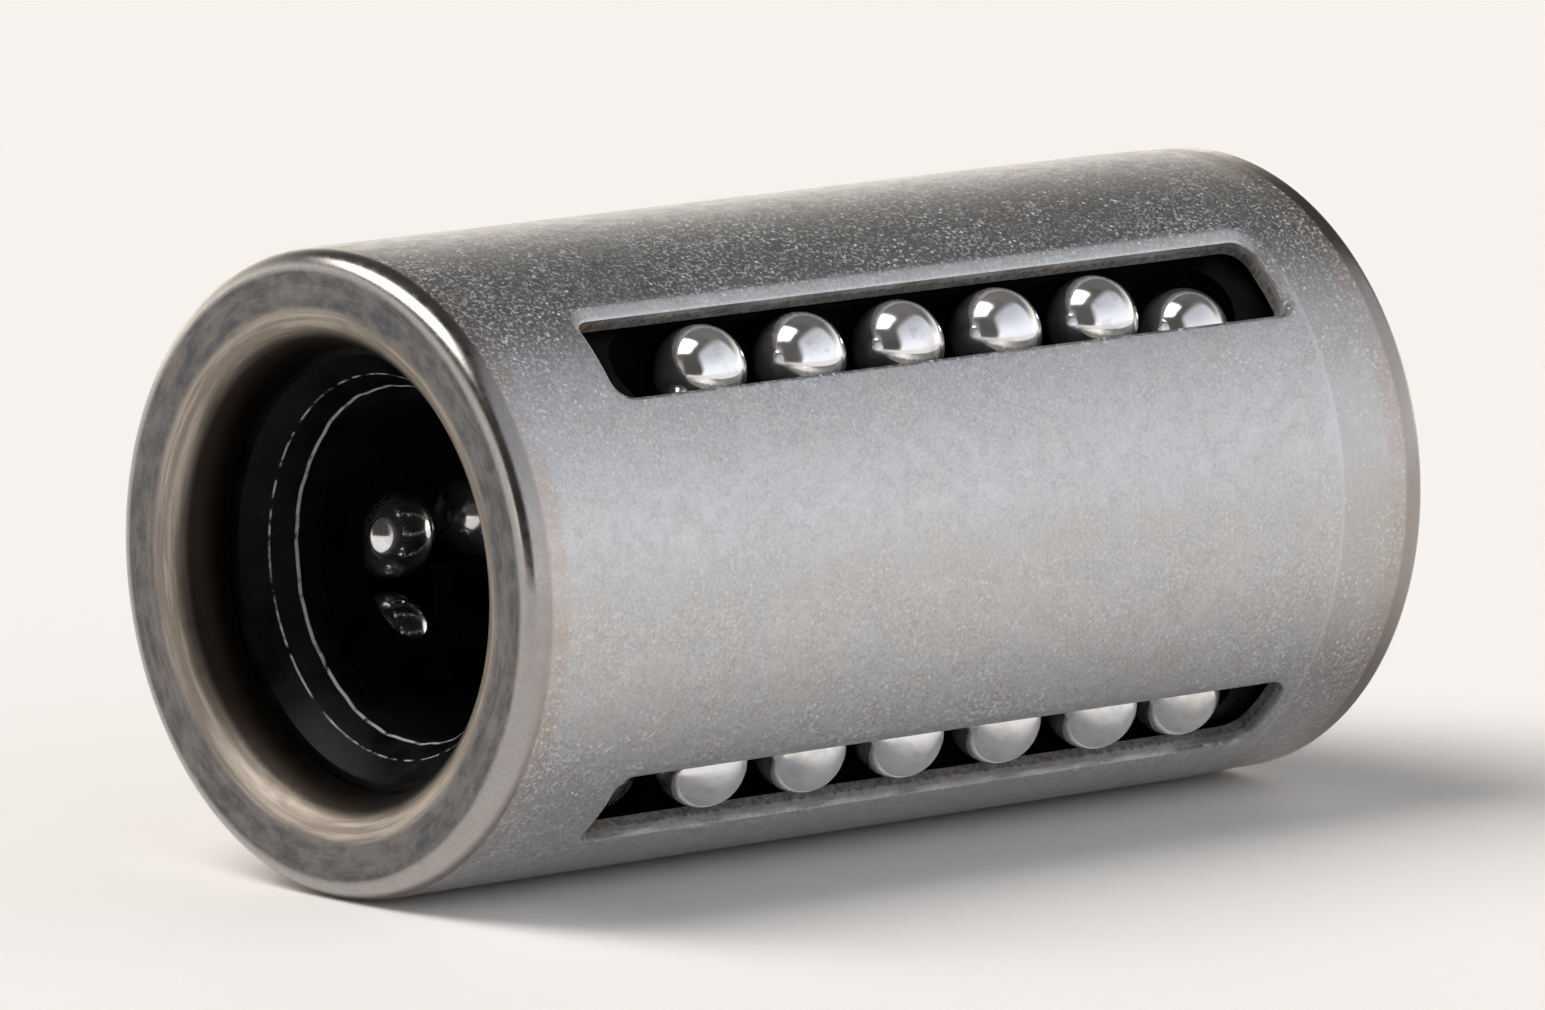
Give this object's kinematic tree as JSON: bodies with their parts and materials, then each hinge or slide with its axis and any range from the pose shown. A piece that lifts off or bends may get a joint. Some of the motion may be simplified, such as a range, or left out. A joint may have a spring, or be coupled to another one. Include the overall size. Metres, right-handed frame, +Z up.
{
  "type": "linear ball bushing",
  "caption": "Compact linear ball bushing: a steel sleeve with windows over recirculating ball rows, held in a moulded cage, which lets a round shaft slide with little friction.",
  "frame": {"origin": "middle of the shaft bore, halfway along the sleeve", "axes": "+X along the shaft axis towards the slightly tapered rear end, +Z up; the bushing lies on its side"},
  "size_m": [0.022, 0.012, 0.012],
  "materials": {
    "sleeve_steel": "satin",
    "ball_steel": "mirror polished",
    "cage_plastic": "moulded"
  },
  "bodies": {
    "housing": {"outer_sleeve": "sleeve_steel", "ball_cage": "cage_plastic", "front_end_ring": "cage_plastic", "rear_end_ring": "cage_plastic"},
    "circuit_1_return_row": {"circuit_1_ball_01": "ball_steel", "circuit_1_ball_02": "ball_steel", "circuit_1_ball_03": "ball_steel", "circuit_1_ball_04": "ball_steel", "circuit_1_ball_05": "ball_steel"},
    "circuit_1_rear_corner_ball": {"circuit_1_ball_06": "ball_steel"},
    "circuit_1_rear_end_ball": {"circuit_1_ball_07": "ball_steel"},
    "circuit_1_loaded_row": {"circuit_1_ball_08": "ball_steel", "circuit_1_ball_09": "ball_steel", "circuit_1_ball_10": "ball_steel", "circuit_1_ball_11": "ball_steel", "circuit_1_ball_12": "ball_steel"},
    "circuit_1_front_corner_ball": {"circuit_1_ball_13": "ball_steel"},
    "circuit_1_front_end_ball": {"circuit_1_ball_14": "ball_steel"},
    "circuit_2_return_row": {"circuit_2_ball_01": "ball_steel", "circuit_2_ball_02": "ball_steel", "circuit_2_ball_03": "ball_steel", "circuit_2_ball_04": "ball_steel", "circuit_2_ball_05": "ball_steel"},
    "circuit_2_rear_corner_ball": {"circuit_2_ball_06": "ball_steel"},
    "circuit_2_rear_end_ball": {"circuit_2_ball_07": "ball_steel"},
    "circuit_2_loaded_row": {"circuit_2_ball_08": "ball_steel", "circuit_2_ball_09": "ball_steel", "circuit_2_ball_10": "ball_steel", "circuit_2_ball_11": "ball_steel", "circuit_2_ball_12": "ball_steel"},
    "circuit_2_front_corner_ball": {"circuit_2_ball_13": "ball_steel"},
    "circuit_2_front_end_ball": {"circuit_2_ball_14": "ball_steel"},
    "circuit_3_return_row": {"circuit_3_ball_01": "ball_steel", "circuit_3_ball_02": "ball_steel", "circuit_3_ball_03": "ball_steel", "circuit_3_ball_04": "ball_steel", "circuit_3_ball_05": "ball_steel"},
    "circuit_3_rear_corner_ball": {"circuit_3_ball_06": "ball_steel"},
    "circuit_3_rear_end_ball": {"circuit_3_ball_07": "ball_steel"},
    "circuit_3_loaded_row": {"circuit_3_ball_08": "ball_steel", "circuit_3_ball_09": "ball_steel", "circuit_3_ball_10": "ball_steel", "circuit_3_ball_11": "ball_steel", "circuit_3_ball_12": "ball_steel"},
    "circuit_3_front_corner_ball": {"circuit_3_ball_13": "ball_steel"},
    "circuit_3_front_end_ball": {"circuit_3_ball_14": "ball_steel"},
    "circuit_4_return_row": {"circuit_4_ball_01": "ball_steel", "circuit_4_ball_02": "ball_steel", "circuit_4_ball_03": "ball_steel", "circuit_4_ball_04": "ball_steel", "circuit_4_ball_05": "ball_steel"},
    "circuit_4_rear_corner_ball": {"circuit_4_ball_06": "ball_steel"},
    "circuit_4_rear_end_ball": {"circuit_4_ball_07": "ball_steel"},
    "circuit_4_loaded_row": {"circuit_4_ball_08": "ball_steel", "circuit_4_ball_09": "ball_steel", "circuit_4_ball_10": "ball_steel", "circuit_4_ball_11": "ball_steel", "circuit_4_ball_12": "ball_steel"},
    "circuit_4_front_corner_ball": {"circuit_4_ball_13": "ball_steel"},
    "circuit_4_front_end_ball": {"circuit_4_ball_14": "ball_steel"}
  },
  "joints": [
    {"name": "circuit_1_travel", "type": "slide", "parent": "housing", "child": "circuit_1_return_row", "axis": [1, 0, 0], "range_m": [-0.00038, 0.00038]},
    {"name": "circuit_1_loaded_travel", "type": "slide", "parent": "housing", "child": "circuit_1_loaded_row", "axis": [1, 0, 0], "range_m": [-0.00038, 0.00038]},
    {"name": "circuit_1_rear_corner_turn", "type": "hinge", "parent": "housing", "child": "circuit_1_rear_corner_ball", "pos_m": [0.00615, -0.00367, 0.00271], "axis": [0, 0.9972, -0.0743], "range_deg": [-24.2, 24.2]},
    {"name": "circuit_1_rear_end_travel", "type": "slide", "parent": "housing", "child": "circuit_1_rear_end_ball", "axis": [0, -0.0743, -0.9972], "range_m": [-0.00038, 0.00038]},
    {"name": "circuit_1_front_corner_turn", "type": "hinge", "parent": "housing", "child": "circuit_1_front_corner_ball", "pos_m": [-0.00549, -0.00381, 0.0009], "axis": [0, 0.9972, -0.0743], "range_deg": [-24.2, 24.2]},
    {"name": "circuit_1_front_end_travel", "type": "slide", "parent": "housing", "child": "circuit_1_front_end_ball", "axis": [0, 0.0743, 0.9972], "range_m": [-0.00038, 0.00038]},
    {"name": "circuit_2_travel", "type": "slide", "parent": "housing", "child": "circuit_2_return_row", "axis": [1, 0, 0], "range_m": [-0.00038, 0.00038]},
    {"name": "circuit_2_loaded_travel", "type": "slide", "parent": "housing", "child": "circuit_2_loaded_row", "axis": [1, 0, 0], "range_m": [-0.00038, 0.00038]},
    {"name": "circuit_2_rear_corner_turn", "type": "hinge", "parent": "housing", "child": "circuit_2_rear_corner_ball", "pos_m": [0.00655, -0.00311, -0.00364], "axis": [0, 0.0743, 0.9972], "range_deg": [-43.55, 43.55]},
    {"name": "circuit_2_rear_end_travel", "type": "slide", "parent": "housing", "child": "circuit_2_rear_end_ball", "axis": [0, 0.9972, -0.0743], "range_m": [-0.00038, 0.00038]},
    {"name": "circuit_2_front_corner_turn", "type": "hinge", "parent": "housing", "child": "circuit_2_front_corner_ball", "pos_m": [-0.00589, -0.0005, -0.00384], "axis": [0, 0.0743, 0.9972], "range_deg": [-43.55, 43.55]},
    {"name": "circuit_2_front_end_travel", "type": "slide", "parent": "housing", "child": "circuit_2_front_end_ball", "axis": [0, -0.9972, 0.0743], "range_m": [-0.00038, 0.00038]},
    {"name": "circuit_3_travel", "type": "slide", "parent": "housing", "child": "circuit_3_return_row", "axis": [1, 0, 0], "range_m": [-0.00038, 0.00038]},
    {"name": "circuit_3_loaded_travel", "type": "slide", "parent": "housing", "child": "circuit_3_loaded_row", "axis": [1, 0, 0], "range_m": [-0.00038, 0.00038]},
    {"name": "circuit_3_rear_corner_turn", "type": "hinge", "parent": "housing", "child": "circuit_3_rear_corner_ball", "pos_m": [0.00655, 0.00364, -0.00311], "axis": [0, -0.9972, 0.0743], "range_deg": [-43.55, 43.55]},
    {"name": "circuit_3_rear_end_travel", "type": "slide", "parent": "housing", "child": "circuit_3_rear_end_ball", "axis": [0, 0.0743, 0.9972], "range_m": [-0.00038, 0.00038]},
    {"name": "circuit_3_front_corner_turn", "type": "hinge", "parent": "housing", "child": "circuit_3_front_corner_ball", "pos_m": [-0.00589, 0.00384, -0.0005], "axis": [0, -0.9972, 0.0743], "range_deg": [-43.55, 43.55]},
    {"name": "circuit_3_front_end_travel", "type": "slide", "parent": "housing", "child": "circuit_3_front_end_ball", "axis": [0, -0.0743, -0.9972], "range_m": [-0.00038, 0.00038]},
    {"name": "circuit_4_travel", "type": "slide", "parent": "housing", "child": "circuit_4_return_row", "axis": [1, 0, 0], "range_m": [-0.00038, 0.00038]},
    {"name": "circuit_4_loaded_travel", "type": "slide", "parent": "housing", "child": "circuit_4_loaded_row", "axis": [1, 0, 0], "range_m": [-0.00038, 0.00038]},
    {"name": "circuit_4_rear_corner_turn", "type": "hinge", "parent": "housing", "child": "circuit_4_rear_corner_ball", "pos_m": [0.00615, 0.00271, 0.00367], "axis": [0, -0.0743, -0.9972], "range_deg": [-24.2, 24.2]},
    {"name": "circuit_4_rear_end_travel", "type": "slide", "parent": "housing", "child": "circuit_4_rear_end_ball", "axis": [0, -0.9972, 0.0743], "range_m": [-0.00038, 0.00038]},
    {"name": "circuit_4_front_corner_turn", "type": "hinge", "parent": "housing", "child": "circuit_4_front_corner_ball", "pos_m": [-0.00549, 0.0009, 0.00381], "axis": [0, -0.0743, -0.9972], "range_deg": [-24.2, 24.2]},
    {"name": "circuit_4_front_end_travel", "type": "slide", "parent": "housing", "child": "circuit_4_front_end_ball", "axis": [0, 0.9972, -0.0743], "range_m": [-0.00038, 0.00038]}
  ],
  "couplings": [
    {"joint": "circuit_1_loaded_travel", "follows": "circuit_1_travel", "ratio": -1},
    {"joint": "circuit_1_rear_corner_turn", "follows": "circuit_1_travel", "rad_per_m": 1111.1},
    {"joint": "circuit_1_rear_end_travel", "follows": "circuit_1_travel", "ratio": 1},
    {"joint": "circuit_1_front_corner_turn", "follows": "circuit_1_travel", "rad_per_m": 1111.1},
    {"joint": "circuit_1_front_end_travel", "follows": "circuit_1_travel", "ratio": 1},
    {"joint": "circuit_2_loaded_travel", "follows": "circuit_2_travel", "ratio": -1},
    {"joint": "circuit_2_rear_corner_turn", "follows": "circuit_2_travel", "rad_per_m": 2000},
    {"joint": "circuit_2_rear_end_travel", "follows": "circuit_2_travel", "ratio": 1},
    {"joint": "circuit_2_front_corner_turn", "follows": "circuit_2_travel", "rad_per_m": 2000},
    {"joint": "circuit_2_front_end_travel", "follows": "circuit_2_travel", "ratio": 1},
    {"joint": "circuit_3_loaded_travel", "follows": "circuit_3_travel", "ratio": -1},
    {"joint": "circuit_3_rear_corner_turn", "follows": "circuit_3_travel", "rad_per_m": 2000},
    {"joint": "circuit_3_rear_end_travel", "follows": "circuit_3_travel", "ratio": 1},
    {"joint": "circuit_3_front_corner_turn", "follows": "circuit_3_travel", "rad_per_m": 2000},
    {"joint": "circuit_3_front_end_travel", "follows": "circuit_3_travel", "ratio": 1},
    {"joint": "circuit_4_loaded_travel", "follows": "circuit_4_travel", "ratio": -1},
    {"joint": "circuit_4_rear_corner_turn", "follows": "circuit_4_travel", "rad_per_m": 1111.1},
    {"joint": "circuit_4_rear_end_travel", "follows": "circuit_4_travel", "ratio": 1},
    {"joint": "circuit_4_front_corner_turn", "follows": "circuit_4_travel", "rad_per_m": 1111.1},
    {"joint": "circuit_4_front_end_travel", "follows": "circuit_4_travel", "ratio": 1}
  ]
}
